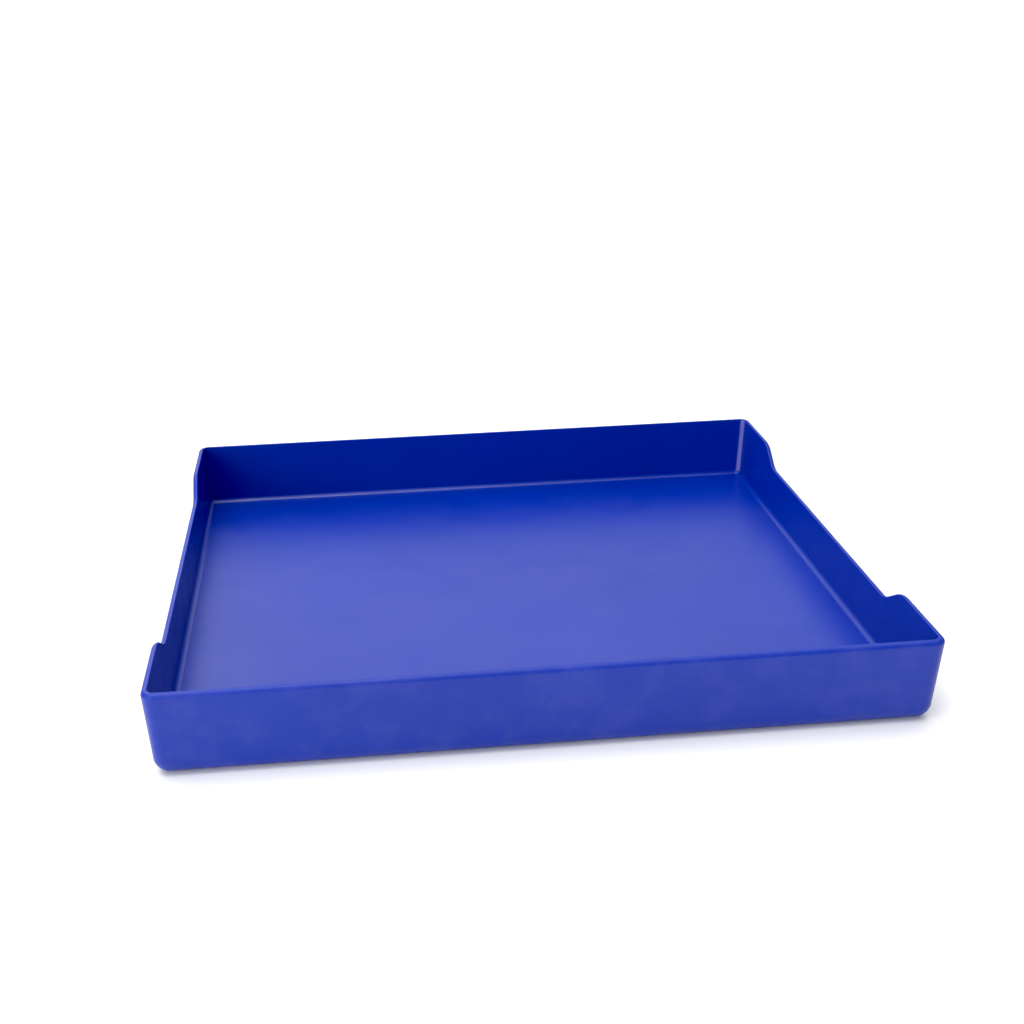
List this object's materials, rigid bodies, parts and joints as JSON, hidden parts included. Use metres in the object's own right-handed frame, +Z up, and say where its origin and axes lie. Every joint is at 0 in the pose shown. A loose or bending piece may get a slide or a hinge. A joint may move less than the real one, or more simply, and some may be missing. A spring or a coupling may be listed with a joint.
{
  "type": "mud pan",
  "caption": "Shallow rectangular pan for wet compound: drafted walls with rounded corners, tall front and rear walls, and side walls cut down between curved shoulders.",
  "frame": {"origin": "centre of the pan in plan, on the level of the foot ring that it stands on", "axes": "+Z up out of the pan's mouth, +X along the long front wall, +Y from the front wall to the rear wall; the cut-down walls are at -X and +X"},
  "size_m": [0.3998, 0.3398, 0.048],
  "materials": {
    "pan_plastic": "matte, fine moulded texture, royal blue"
  },
  "bodies": {
    "root": {"pan_body": "pan_plastic"}
  },
  "joints": []
}
